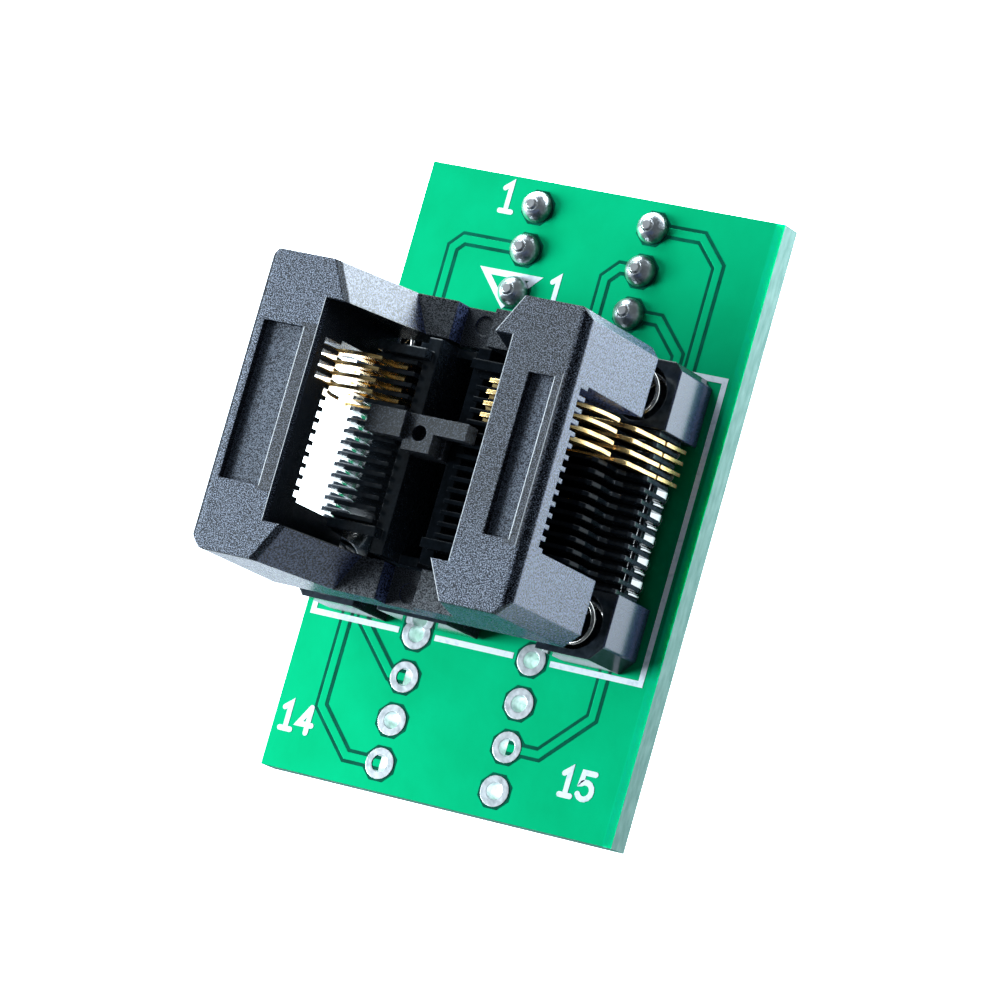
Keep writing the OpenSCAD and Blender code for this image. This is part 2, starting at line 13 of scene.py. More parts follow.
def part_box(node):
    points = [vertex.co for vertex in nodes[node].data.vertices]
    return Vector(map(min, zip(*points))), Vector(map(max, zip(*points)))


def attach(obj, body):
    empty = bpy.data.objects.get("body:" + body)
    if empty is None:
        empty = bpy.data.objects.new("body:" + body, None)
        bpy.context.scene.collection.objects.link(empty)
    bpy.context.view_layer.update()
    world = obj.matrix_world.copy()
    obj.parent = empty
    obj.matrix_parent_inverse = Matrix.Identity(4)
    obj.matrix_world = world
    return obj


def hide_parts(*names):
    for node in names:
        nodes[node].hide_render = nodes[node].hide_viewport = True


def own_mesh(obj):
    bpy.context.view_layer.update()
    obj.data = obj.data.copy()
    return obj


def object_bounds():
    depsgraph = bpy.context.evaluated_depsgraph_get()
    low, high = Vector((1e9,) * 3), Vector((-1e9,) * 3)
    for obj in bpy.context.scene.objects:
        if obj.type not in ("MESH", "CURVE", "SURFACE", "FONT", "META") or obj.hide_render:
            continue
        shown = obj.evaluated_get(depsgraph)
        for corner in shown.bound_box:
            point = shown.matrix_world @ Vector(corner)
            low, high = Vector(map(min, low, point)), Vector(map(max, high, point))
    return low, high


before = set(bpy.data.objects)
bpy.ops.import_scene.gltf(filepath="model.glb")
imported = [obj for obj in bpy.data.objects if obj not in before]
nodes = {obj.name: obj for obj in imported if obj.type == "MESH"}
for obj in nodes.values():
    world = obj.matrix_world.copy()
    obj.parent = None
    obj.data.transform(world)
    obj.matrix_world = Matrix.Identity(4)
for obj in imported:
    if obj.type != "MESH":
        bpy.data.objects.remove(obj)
cad_low, cad_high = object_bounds()
print("CAD box in mm:", [round(1000 * v, 2) for v in (*cad_low, *cad_high)])

# %% [markdown]
# ## Where things are
# Everything printed on the board is easiest to place in millimetres from the middle of its pin
# holes, on its upper face. Two CAD boxes give that place, so nothing has to be fitted by eye.

# %% Board places
MM = 0.001
board_low, board_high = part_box("circuit_board")
hole_low, hole_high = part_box("pin_hole_plating")
pin_field = np.array([(hole_low.x + hole_high.x) / 2, (hole_low.y + hole_high.y) / 2, board_high.z])
PIN_PITCH, ROW_X, ROWS = 2.54, 3.81, 14
pin_y = ((ROWS - 1) / 2 - np.arange(ROWS)) * PIN_PITCH
print("pin field's middle in mm:", np.round(pin_field / MM, 3))

# %% [markdown]
# ## Surfaces from arrays
# A strip, a ring or a wire is a grid of points: one direction runs along the piece and the other
# around its cross-section. Numpy works out the whole grid at once, and the quads between
# neighbouring points follow from the grid's size alone. Blender could also do it with curves and
# bevels, but a grid gives full control and the same mesh on every run.

# %% Grid helpers
def grid_quads(rows, cols, wrap_rows=False, wrap_cols=True):
    """Quads of a grid of points numbered row by row; a wrapped direction joins its end to its start."""
    r, c = np.meshgrid(np.arange(rows if wrap_rows else rows - 1),
                       np.arange(cols if wrap_cols else cols - 1), indexing="ij")
    r2, c2 = (r + 1) % rows, (c + 1) % cols
    return np.stack([r * cols + c, r * cols + c2, r2 * cols + c2, r2 * cols + c], -1).reshape(-1, 4)


def tube_faces(rows, cols, closed):
    """Faces of a tube of rows rings with cols points each; an open tube gets a cap at either end."""
    faces = grid_quads(rows, cols, wrap_rows=closed).tolist()
    if not closed:
        faces += [list(range(cols)), list(range((rows - 1) * cols, rows * cols))]
    return faces


def gather(parts):
    """Joins (points, faces) pairs into one: each part's faces count on from the points before it."""
    starts = np.cumsum([0] + [len(p) for p, f in parts])
    return np.concatenate([p for p, f in parts]), [
        [i + int(start) for i in face] for start, (p, f) in zip(starts, parts) for face in f]


def outward(mesh):
    """Turns a closed mesh right side out: the sum of its faces' signed tetrahedra must be positive."""
    mesh.calc_loop_triangles()
    corners = np.empty(len(mesh.loop_triangles) * 3, np.int32)
    mesh.loop_triangles.foreach_get("vertices", corners)
    co = np.empty(len(mesh.vertices) * 3)
    mesh.vertices.foreach_get("co", co)
    a, b, c = np.moveaxis(co.reshape(-1, 3)[corners.reshape(-1, 3)], 1, 0)
    if np.einsum("ij,ij->i", a - a.mean(0), np.cross(b - a.mean(0), c - a.mean(0))).sum() < 0:
        mesh.flip_normals()


def new_piece(name, points, faces, material, body, smooth=False):
    """A mesh object at the origin whose points, in metres, hold its place; it rides on a CAD body."""
    mesh = bpy.data.meshes.new(name)
    mesh.from_pydata(points.reshape(-1, 3).tolist(), [], faces)
    outward(mesh)
    mesh.polygons.foreach_set("use_smooth", np.full(len(mesh.polygons), smooth))
    mesh.materials.append(material)
    piece = bpy.data.objects.new(name, mesh)
    bpy.context.scene.collection.objects.link(piece)
    print(f"{name}: {len(mesh.vertices)} points, {len(mesh.polygons)} faces")
    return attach(piece, body)


# %% [markdown]
# ## Building finishes
# Each finish is one Principled shader fed by a few procedural nodes on Object coordinates, which
# are metres on the object itself, so a grain of 0.15 mm stays 0.15 mm on every piece. A Bevel node
# rounds the shading of sharp edges: moulded and stamped edges are never knife-sharp, and the thin
# light line along them tells the eye how small the object is.

# %% Finish helpers
def start_finish(name, colour, roughness, metallic=0.0, specular=0.5):
    """A new material with one Principled shader; returns the material, its node tree and the shader."""
    finish = bpy.data.materials.new(name)
    finish.use_nodes = True
    shader = finish.node_tree.nodes["Principled BSDF"]
    shader.inputs["Base Color"].default_value = (*colour, 1)
    shader.inputs["Roughness"].default_value = roughness
    shader.inputs["Metallic"].default_value = metallic
    shader.inputs["Specular IOR Level"].default_value = specular
    return finish, finish.node_tree, shader


def node(tree, kind, inputs=None, **settings):
    """A new shader node with its settings, and with sockets set to a value or linked to an output."""
    made = tree.nodes.new(kind)
    for key, value in settings.items():
        setattr(made, key, value)
    for key, value in (inputs or {}).items():
        if isinstance(value, bpy.types.NodeSocket):
            tree.links.new(value, made.inputs[key])
        else:
            made.inputs[key].default_value = value
    return made


def ramp(tree, factor, stops):
    """A colour ramp with (position, colour) stops, read at factor."""
    made = node(tree, "ShaderNodeValToRGB", {"Fac": factor})
    elements = made.color_ramp.elements
    while len(elements) < len(stops):
        elements.new(0.5)
    for element, (position, colour) in zip(elements, stops):
        element.position = position
        element.color = (*colour, 1)
    return made.outputs["Color"]


def grain(tree, scale, detail=2.0, stretch=(1, 1, 1)):
    """Noise on Object coordinates with about scale grains in a metre, stretched along the axes."""
    place = node(tree, "ShaderNodeTexCoord").outputs["Object"]
    if stretch != (1, 1, 1):
        place = node(tree, "ShaderNodeMapping", {"Vector": place, "Scale": stretch}).outputs["Vector"]
    noise = node(tree, "ShaderNodeTexNoise", {"Vector": place, "Scale": scale, "Detail": detail})
    return noise.outputs["Fac"]


def rounded(tree, radius):
    """The face's direction, turned near edges as if they were rounded to a radius."""
    return node(tree, "ShaderNodeBevel", {"Radius": radius}, samples=6).outputs["Normal"]


def relief(tree, shader, height, depth, strength=1.0, edge=0.0, under=None):
    """Bump of the given depth from a height, over edges shaded as if rounded to the radius edge, or over
    a direction socket under."""
    inputs = {"Height": height, "Distance": depth, "Strength": strength}
    if edge:
        inputs["Normal"] = rounded(tree, edge)
    if under:
        inputs["Normal"] = under
    bump = node(tree, "ShaderNodeBump", inputs)
    tree.links.new(bump.outputs["Normal"], shader.inputs["Normal"])


def math_node(tree, operation, first, second=0.0):
    """One Math node: an operation on a socket and a socket or number."""
    made = node(tree, "ShaderNodeMath", {0: first, 1: second}, operation=operation)
    return made.outputs["Value"]


def dress(finish, *names):
    """Gives CAD nodes a finish by assigning their material slots."""
    for name in names:
        for material_slot in nodes[name].material_slots:
            material_slot.material = finish
    print(finish.name, "on", len(names), "nodes")


# %% [markdown]
# ## Masks
# One material can hold several finishes if something says where each of them goes. A mask does: it
# is a number from 0 to 1 on every point of the surface. It could be painted as an image, but then the
# piece would have to be unwrapped first. Here masks are worked out from the direction of the face and
# from the place on the object, and as each is an ordinary socket, two of them combine by arithmetic.

# %% Mask arithmetic
def mapped(tree, value, low, high, first=0.0, last=1.0):
    """Runs smoothly from first at low to last at high, and stays there outside them."""
    inputs = {"Value": value, "From Min": low, "From Max": high, "To Min": first, "To Max": last}
    return node(tree, "ShaderNodeMapRange", inputs, interpolation_type="SMOOTHSTEP").outputs["Result"]


def weighted(tree, mask, outside, within):
    """A number that goes from outside, where the mask is 0, to within, where it is 1."""
    return mapped(tree, mask, 0.0, 1.0, outside, within)


def shade_by(tree, mask, outside, within):
    """Goes from one colour socket to another by a mask."""
    made = node(tree, "ShaderNodeMix", data_type="RGBA")
    tree.links.new(mask, made.inputs["Factor"])
    tree.links.new(outside, made.inputs[6])
    tree.links.new(within, made.inputs[7])
    return made.outputs[2]


def both(tree, first, second):
    """The product of two masks: 1 where both are."""
    return math_node(tree, "MULTIPLY", first, second)


def either(tree, first, second):
    """The larger of two masks: 1 where one of them is."""
    return math_node(tree, "MAXIMUM", first, second)


def without(tree, first, second):
    """The first mask less the second."""
    return math_node(tree, "SUBTRACT", first, second)


def size_of(tree, value):
    """A number without its sign."""
    return math_node(tree, "ABSOLUTE", value)


# %% Masks from shape
SOCKET_Y = float(pin_field[1])


def direction(tree, axis):
    """How far the face points along an axis: 1 where it looks that way, 0 beside it, -1 away from it."""
    turned = node(tree, "ShaderNodeNewGeometry").outputs["Normal"]
    return node(tree, "ShaderNodeSeparateXYZ", {"Vector": turned}).outputs[axis]


def place_on(tree, axis):
    """One coordinate of the point on the object, in metres."""
    place = node(tree, "ShaderNodeTexCoord").outputs["Object"]
    return node(tree, "ShaderNodeSeparateXYZ", {"Vector": place}).outputs[axis]


def inside(tree, half_x, half_y):
    """1 where the point is within half_x and half_y of the socket's middle, 0 outside."""
    x = size_of(tree, place_on(tree, "X"))
    y = size_of(tree, math_node(tree, "SUBTRACT", place_on(tree, "Y"), SOCKET_Y))
    return both(tree, math_node(tree, "LESS_THAN", x, half_x), math_node(tree, "LESS_THAN", y, half_y))


def on_right(tree):
    """1 on the right half of the socket, 0 on the left half."""
    return math_node(tree, "GREATER_THAN", place_on(tree, "X"), 0.0)


print("socket's middle at y =", round(SOCKET_Y / MM, 2), "mm")

# %% [markdown]
# ## The pressing frame
# The frame is moulded in black plastic. The mould was spark-eroded where it forms the top, so the
# top is a field of tiny facets, some of which catch the light, while the sides slid out of a calmer,
# satin mould wall. One material holds both: the direction of the face chooses between them, and the
# sides are also painted a lighter blue grey than the top, as a painted sheen. A steep ramp paints
# single grains bright, as painted glints, and the same grains stand up as bump, so that the sparkle
# moves with the light and not only with the colour. Along the rounded outer edges of the bars and
# just below the sharp ones a nearly black band with a weak reflection is painted: painted shade.
# Sharp top edges that meet the light show a thin painted highlight, found by how far the rounded
# direction leans from the flat one. The window's walls and the low bridge are painted dark too, as
# painted shade.

# %% Frame places
frame_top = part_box("cover")[1].z
EVERYWHERE = 1.0
WINDOW_X, WINDOW_Y = 6.05 * MM, 6.45 * MM
OUTER_X, BEND_X, BEND_Y = 9.6 * MM, 9.66 * MM, 4.8 * MM
LEFT_STRIP_X, RIGHT_STRIP_X, PANEL_Y = 7.0 * MM, 8.9 * MM, 4.8 * MM
LINE_ROUND, BEND_LINE_W, WINDOW_LINE_W = 0.09 * MM, 0.06 * MM, 0.15 * MM
LEAN_LOW, LEAN_HIGH = 0.12, 0.3
FAINT, DEEPEST_SHADE = 0.3, 0.75


def lit_edges(tree, lean):
    """1 on a thin line of painted highlight along sharp top edges that face the light on the left, and
    FAINT along the start of the right bar's rounded edge."""
    to_light = both(tree, mapped(tree, lean, -LEAN_LOW, -LEAN_HIGH), inside(tree, OUTER_X, EVERYWHERE))
    band = without(tree, inside(tree, BEND_X + BEND_LINE_W, BEND_Y), inside(tree, BEND_X, BEND_Y))
    return either(tree, to_light, both(tree, both(tree, band, FAINT), on_right(tree)))


def window_edges(tree, lean):
    """1 on a thin line of painted highlight along the window's long edges: there the rounded direction
    leans sideways although the face is level."""
    return both(tree, inside(tree, WINDOW_X + WINDOW_LINE_W, WINDOW_Y),
                mapped(tree, size_of(tree, lean), LEAN_LOW, LEAN_HIGH))


def beside_panels(tree):
    """1 on the strips of the top to the right of the two recessed panels, which are painted darker; on
    the right bar this is painted shade.
    """
    at_left = without(tree, inside(tree, LEFT_STRIP_X, PANEL_Y), on_right(tree))
    at_right = both(tree, on_right(tree), inside(tree, EVERYWHERE, PANEL_Y))
    outer = without(tree, at_right, inside(tree, RIGHT_STRIP_X, EVERYWHERE))
    return either(tree, either(tree, at_left, outer), 0.0)


def on_upper_right(tree):
    """Rises to its deepest on the right bar away from its front end, where less of the light arrives:
    painted shade.
    """
    back = mapped(tree, place_on(tree, "Y"), SOCKET_Y - 7 * MM, SOCKET_Y - 2 * MM, 0.0, DEEPEST_SHADE)
    return both(tree, back, on_right(tree))


def below_top(tree, start, end):
    """0 at the depth start below the frame's top, and 1 from the smaller depth end upwards."""
    return mapped(tree, place_on(tree, "Z"), frame_top - start, frame_top - end)


print("frame's top at", round(frame_top / MM, 2), "mm")

# %% Frame colours
TOP_GRAINS, SIDE_GRAINS = 16500, 9500
frame_plastic, tree, shader = start_finish("frame_plastic", (0.03, 0.04, 0.05), 0.42)
spark, side_grain = grain(tree, TOP_GRAINS, 1), grain(tree, SIDE_GRAINS, 2)
# The top's grain; single grains are painted bright, as painted glints.
top_grain_and_glints = ramp(tree, spark, [(0.43, (0.001, 0.002, 0.003)), (0.52, (0.012, 0.016, 0.030)),
                                (0.61, (0.245, 0.30, 0.425))])
# A darker top, beside the panels and on the right bar; on the right bar it is painted shade.
darker_top_colour = ramp(tree, spark, [(0.43, (0.001, 0.001, 0.002)), (0.55, (0.005, 0.007, 0.013)),
                                  (0.64, (0.070, 0.090, 0.15))])
# The sides: a satin grain, painted a lighter blue grey than the top as a painted sheen.
side_sheen_colour = ramp(tree, side_grain, [(0.40, (0.001, 0.003, 0.012)), (0.60, (0.060, 0.080, 0.165))])
# The band along the bars' rounded edges and below sharp top edges: painted shade.
band_shade_colour = ramp(tree, spark, [(0.50, (0.001, 0.001, 0.002)), (0.68, (0.10, 0.12, 0.16))])
panel_colour = ramp(tree, spark, [(0.42, (0.004, 0.005, 0.009)), (0.64, (0.084, 0.114, 0.176))])
# The low bridge between the bars is painted darker: a painted shadow of the left bar.
bridge_shadow_colour = ramp(tree, spark, [(0.40, (0.003, 0.004, 0.006)), (0.64, (0.036, 0.046, 0.064))])
# The window's inner walls are painted nearly black: painted shade.
window_shade_colour = ramp(tree, spark, [(0.35, (0.004, 0.005, 0.008)), (0.65, (0.012, 0.016, 0.022))])
# A near-white colour for the thin lines of painted highlight.
highlight_colour = ramp(tree, spark, [(0.3, (0.45, 0.50, 0.56)), (0.5, (0.85, 0.88, 0.92))])
print("grain in mm: top", round(1 / TOP_GRAINS / MM, 3), "sides", round(1 / SIDE_GRAINS / MM, 3))

# %% Frame faces
level = mapped(tree, direction(tree, "Z"), 0.86, 0.97)
turned_up = both(tree, mapped(tree, direction(tree, "Z"), 0.12, 0.4),
                 mapped(tree, direction(tree, "Z"), 0.985, 0.93))
along_bar = both(tree, mapped(tree, size_of(tree, direction(tree, "X")), 0.2, 0.35),
                 mapped(tree, size_of(tree, direction(tree, "Y")), 0.35, 0.2))
# Where the band of painted shade goes: the rounded outer edges, and just below sharp top edges.
below_edge = both(tree, weighted(tree, level, 1.0, 0.0), below_top(tree, 0.6 * MM, 0.4 * MM))
shade_band = either(tree, both(tree, turned_up, along_bar), below_edge)

lean = node(tree, "ShaderNodeSeparateXYZ", {"Vector": rounded(tree, LINE_ROUND)}).outputs["X"]
# Thin painted highlights along lit top edges and along the window's long edges.
window_highlight = window_edges(tree, lean)
painted_highlight = either(tree, lit_edges(tree, lean), window_highlight)
# Painted shade on the right bar away from its front, and a darker top beside the panels.
darker_top = either(tree, beside_panels(tree), on_upper_right(tree))
raised_colour = shade_by(tree, painted_highlight, shade_by(tree, darker_top, top_grain_and_glints, darker_top_colour), highlight_colour)
# Faces well below the top get the painted shadow of the bridge.
sunk_colour = shade_by(tree, below_top(tree, 2.0 * MM, 1.2 * MM), bridge_shadow_colour, panel_colour)
level_colour = shade_by(tree, below_top(tree, 0.35 * MM, 0.2 * MM), sunk_colour, raised_colour)
# Upright faces: painted shade inside the window, the painted sheen outside it.
wall_colour = shade_by(tree, inside(tree, WINDOW_X, WINDOW_Y), side_sheen_colour, window_shade_colour)
face_colour = shade_by(tree, level, wall_colour, level_colour)
tree.links.new(shade_by(tree, shade_band, face_colour, band_shade_colour), shader.inputs["Base Color"])
print("frame_plastic has", len(tree.nodes), "shader nodes")

# %% Frame shine and bump
tree.links.new(weighted(tree, level, 0.26, 0.45), shader.inputs["Roughness"])
top_glint = both(tree, mapped(tree, spark, 0.38, 0.62, 0.15, 0.82), level)
side_glint = both(tree, mapped(tree, side_grain, 0.36, 0.64, 0.32, 0.56), without(tree, 1.0, level))
glint = math_node(tree, "ADD", top_glint, side_glint)
# A painted reflection: faces turned to the back reflect more, and the end faces and the band of painted
# shade hardly at all.
glint = both(tree, glint, mapped(tree, direction(tree, "Y"), 0.35, 0.44, 1.0, 1.6))
glint = both(tree, glint, weighted(tree, shade_band, 1.0, 0.06))
glint = both(tree, glint, mapped(tree, size_of(tree, direction(tree, "Y")), 0.8, 0.95, 1.0, 0.02))
tree.links.new(glint, shader.inputs["Specular IOR Level"])
EDGE_ROUND = 0.12 * MM
# The window's painted highlight keeps the flat direction, so that the light from the left reaches it.
kept_flat = node(tree, "ShaderNodeMix", {"Factor": window_highlight}, data_type="VECTOR")
tree.links.new(rounded(tree, EDGE_ROUND), kept_flat.inputs[4])
tree.links.new(node(tree, "ShaderNodeNewGeometry").outputs["Normal"], kept_flat.inputs[5])
relief(tree, shader, spark, 0.04 * MM, mapped(tree, level, -0.7, 1.0), under=kept_flat.outputs[1])
dress(frame_plastic, "cover")

# %% [markdown]
# ## The socket base and the package stop
# The base is the same plastic from a polished mould, so it is blacker and smoother, with a faint
# flow pattern. Only the towers' outer sides are satin, and they are painted a lighter blue grey, as a
# painted sheen. Like all moulded sides they lean back a little, so that the part leaves its mould:
# too little for the solids, but enough to change what they reflect, so a bump of even slope shades
# it. The crest of the right comb is painted near black and reflects less, as painted shade. The stop
# across its middle is textured again, a little darker than the frame.

# %% Base and stop plastic
base_low, base_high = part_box("socket_base")
DRAFT = 0.11
CREST_LOW, CREST_HIGH = board_high.z + 3.6 * MM, board_high.z + 5.0 * MM
base_plastic, tree, shader = start_finish("base_plastic", (0.008, 0.010, 0.014), 0.11)
flow, satin = grain(tree, 2600, 3), grain(tree, 16000, 1)
core_colour = ramp(tree, flow, [(0.3, (0.011, 0.016, 0.022)), (0.75, (0.028, 0.038, 0.050))])
# The crest of the right comb is painted near black and reflects less: painted shade.
crest_shade_colour = ramp(tree, flow, [(0.3, (0.002, 0.003, 0.004)), (0.75, (0.005, 0.007, 0.010))])
# The towers' outer sides: a satin grain, painted a lighter blue grey as a painted sheen.
tower_sheen_colour = ramp(tree, satin, [(0.38, (0.008, 0.014, 0.036)), (0.62, (0.034, 0.048, 0.100))])
core = inside(tree, base_high.x - 0.1 * MM, (base_high.y - base_low.y) / 2 + 1 * MM)
crest = both(tree, on_right(tree), mapped(tree, place_on(tree, "Z"), CREST_LOW, CREST_HIGH))
inner_colour = shade_by(tree, crest, core_colour, crest_shade_colour)
tree.links.new(shade_by(tree, core, tower_sheen_colour, inner_colour), shader.inputs["Base Color"])
shine = both(tree, weighted(tree, core, 0.8, 0.45), weighted(tree, crest, 1.0, 0.1))
tree.links.new(shine, shader.inputs["Specular IOR Level"])
tree.links.new(weighted(tree, core, 0.2, 0.15), shader.inputs["Roughness"])
draft = both(tree, without(tree, core, 1.0), both(tree, place_on(tree, "Z"), DRAFT))
leaning = node(tree, "ShaderNodeBump", {"Height": draft, "Distance": 1.0,
                                        "Normal": rounded(tree, EDGE_ROUND)})
relief(tree, shader, flow, 0.03 * MM, 0.05, under=leaning.outputs["Normal"])
dress(base_plastic, "socket_base")

stop_plastic, tree, shader = start_finish("stop_plastic", (0.03, 0.035, 0.045), 0.45)
fine = grain(tree, 13000, 1)
tree.links.new(ramp(tree, fine, [(0.42, (0.001, 0.002, 0.003)), (0.54, (0.006, 0.008, 0.012)),
                                 (0.66, (0.06, 0.075, 0.105))]),
               shader.inputs["Base Color"])
relief(tree, shader, fine, 0.04 * MM, 0.5, edge=0.06 * MM)
dress(stop_plastic, "package_stop")

strip_plastic, tree, shader = start_finish("strip_plastic", (0.016, 0.016, 0.018), 0.5)
relief(tree, shader, grain(tree, 3200), 0.03 * MM, 0.3, edge=0.1 * MM)
dress(strip_plastic, "left_pin_strip", "right_pin_strip")

# %% [markdown]
# ## The metals
# Gold-plated contacts, tinned rings, solder and wire are all metals, and differ in colour and in
# how the surface is broken up: stamped gold has fine drawing lines, solder is smooth but dented,
# and tin is slightly frosted. Low, wide noise bends the reflections of the lights, which reads as
# metal at this size far better than a perfect mirror.

# %% Metals
gold, tree, shader = start_finish("gold_plating", (0.92, 0.66, 0.3), 0.24, 1.0)
wear = grain(tree, 1500, 3, (1, 6, 1))
tree.links.new(ramp(tree, wear, [(0.3, (0.58, 0.35, 0.11)), (0.65, (0.95, 0.71, 0.35))]),
               shader.inputs["Base Color"])
relief(tree, shader, wear, 0.02 * MM, 0.35, edge=0.04 * MM)
dress(gold, *[n for n in nodes if "_contact_" in n])

tin, tree, shader = start_finish("tinned_ring", (0.86, 0.88, 0.89), 0.32, 0.85)
frost = grain(tree, 2400, 2)
tree.links.new(ramp(tree, frost, [(0.3, (0.44, 0.48, 0.50)), (0.6, (0.66, 0.69, 0.71))]),
               shader.inputs["Base Color"])
relief(tree, shader, frost, 0.04 * MM, 0.3, edge=0.04 * MM)
dress(tin, "pin_hole_plating", "tail_hole_plating")

solder, tree, shader = start_finish("bright_solder", (0.5, 0.52, 0.54), 0.33, 1.0)
dents = grain(tree, 1300, 2)
tree.links.new(ramp(tree, dents, [(0.3, (0.30, 0.32, 0.34)), (0.65, (0.62, 0.64, 0.66))]),
               shader.inputs["Base Color"])
relief(tree, shader, dents, 0.2 * MM, 0.4, edge=0.1 * MM)
dress(solder, "pin_solder_joints", "tail_solder_joints")

pin_metal, tree, shader = start_finish("turned_pin", (0.55, 0.55, 0.55), 0.28, 1.0)
turning = grain(tree, 1200, 2, (1, 1, 8))
tree.links.new(ramp(tree, turning, [(0.3, (0.42, 0.42, 0.43)), (0.7, (0.66, 0.66, 0.67))]),
               shader.inputs["Base Color"])
relief(tree, shader, turning, 0.03 * MM, 0.3, edge=0.05 * MM)
pins = [n for n in nodes if n.startswith(("left_pin_", "right_pin_")) and "strip" not in n]
dress(pin_metal, *pins)

wire, tree, shader = start_finish("spring_wire", (0.72, 0.73, 0.75), 0.2, 1.0)
drawn = grain(tree, 2500, 2)
tree.links.new(ramp(tree, drawn, [(0.3, (0.24, 0.23, 0.22)), (0.7, (0.52, 0.51, 0.49))]),
               shader.inputs["Base Color"])
relief(tree, shader, drawn, 0.02 * MM, 0.25)

# %% [markdown]
# ## The board
# Green lacquer covers copper that fills most of the face. Copper sends light on in one direction
# more than in others, so the face is bright where the light falls on it and nearly black in the
# socket's shadow; the shader is a rough green metal there. Along the right edge only, a band is
# painted a brighter green without the metal, so that it glows: a painted glow. Subsurface scattering
# lets light that enters by the sawn edge come up through it as well. The sawn edges show the
# laminate itself: pale and mottled by its glass cloth, but the front edge is painted dark green, as
# painted shade. One material does it all: the face's direction picks lacquer or laminate, and the
# distance from the right edge the rim.

# %% Lacquer and laminate
board_middle = (board_low + board_high) / 2
half_w, half_l = (board_high.x - board_low.x) / 2, (board_high.y - board_low.y) / 2
RIM = 0.55 * MM


def right_rim(tree, width):
    """1 on a band of that width along the board's right edge, 0 inside it, with a soft change."""
    return mapped(tree, place_on(tree, "X"), board_high.x - 1.2 * width, board_high.x - 0.8 * width)


def facing_up(tree):
    """1 on the upper and lower faces, 0 on the sawn edges."""
    return math_node(tree, "GREATER_THAN", size_of(tree, direction(tree, "Z")), 0.5)


def facing_front(tree):
    """1 on the sawn edge at the front, 0 on the other faces."""
    return math_node(tree, "LESS_THAN", direction(tree, "Y"), -0.5)


LACQUER_LOW, LACQUER_HIGH = (0.0001, 0.315, 0.127), (0.0002, 0.36, 0.154)
lacquer, tree, shader = start_finish("green_lacquer", LACQUER_HIGH, 0.58, specular=0.015)
cloudy = grain(tree, 260, 4)
pour = ramp(tree, cloudy, [(0.3, LACQUER_LOW), (0.7, LACQUER_HIGH)])
# The band along the right edge only is painted a brighter green: a painted glow.
rim_glow_green = ramp(tree, cloudy, [(0.3, (0.0003, 0.50, 0.235)), (0.7, (0.0006, 0.58, 0.29))])
layers = grain(tree, 1500, 3, (1, 0.6, 2))
pale_edge = ramp(tree, layers, [(0.3, (0.125, 0.23, 0.205)), (0.7, (0.20, 0.315, 0.285))])
# The front sawn edge is painted dark green: painted shade.
front_edge_shade = ramp(tree, layers, [(0.3, (0.0005, 0.07, 0.05)), (0.7, (0.002, 0.13, 0.095))])
edge_colour = shade_by(tree, facing_front(tree), pale_edge, front_edge_shade)
face_colour = shade_by(tree, right_rim(tree, RIM), pour, rim_glow_green)
tree.links.new(shade_by(tree, facing_up(tree), edge_colour, face_colour), shader.inputs["Base Color"])
rim = both(tree, facing_up(tree), right_rim(tree, RIM))
over_copper = without(tree, facing_up(tree), rim)
tree.links.new(weighted(tree, over_copper, 0.0, 0.85), shader.inputs["Metallic"])
tree.links.new(rim, shader.inputs["Subsurface Weight"])
shader.inputs["Subsurface Radius"].default_value = (0.3, 1.0, 0.7)
shader.inputs["Subsurface Scale"].default_value = 0.6 * MM
relief(tree, shader, grain(tree, 1900, 2), 0.03 * MM, 0.12, edge=0.05 * MM)
dress(lacquer, "circuit_board")

gap_lacquer, tree, shader = start_finish("lacquer_over_gap", (0.001, 0.09, 0.05), 0.35, specular=0.03)
uneven = grain(tree, 900, 3)
tree.links.new(ramp(tree, uneven, [(0.3, (0.0008, 0.075, 0.042)), (0.7, (0.0015, 0.13, 0.075))]),
               shader.inputs["Base Color"])

# %% [markdown]
# ## Flat strips along a path
# Tracks, the gaps beside them and the printed lines are all flat strips. A strip is a path carried
# sideways: at each corner the sideways direction halves the angle between the two legs and is
# lengthened, so that the strip keeps its width round the corner (a mitre). Round ends come from a
# half-width that shrinks along a quarter circle past the last point. Each layer ends at a height of
# its own above the board, in millimetres, so that no two layers lie in one plane.

# %% Strip surface
SUNK, GAP_TOP, RING_TOP, TRACK_TOP, INK_TOP = -0.02, 0.010, 0.014, 0.018, 0.022


def mitres(path, closed):
    """Sideways direction at each point: the legs' mean normal over its cosine with a leg."""
    legs = np.roll(path, -1, 0) - path if closed else np.diff(path, axis=0)
    legs = legs / np.linalg.norm(legs, axis=1, keepdims=True)
    before = np.roll(legs, 1, 0) if closed else np.vstack([legs[:1], legs])
    after = legs if closed else np.vstack([legs, legs[-1:]])
    mean = before + after
    mean = mean / np.linalg.norm(mean, axis=1, keepdims=True)
    side = np.stack([-mean[:, 1], mean[:, 0]], 1)
    return side / np.maximum(np.einsum("ij,ij->i", mean, after), 0.3)[:, None]


def shifted(path, distance, closed=False):
    """The path carried sideways by a distance, to its left if positive."""
    path = np.asarray(path, float)
    return path + mitres(path, closed) * distance


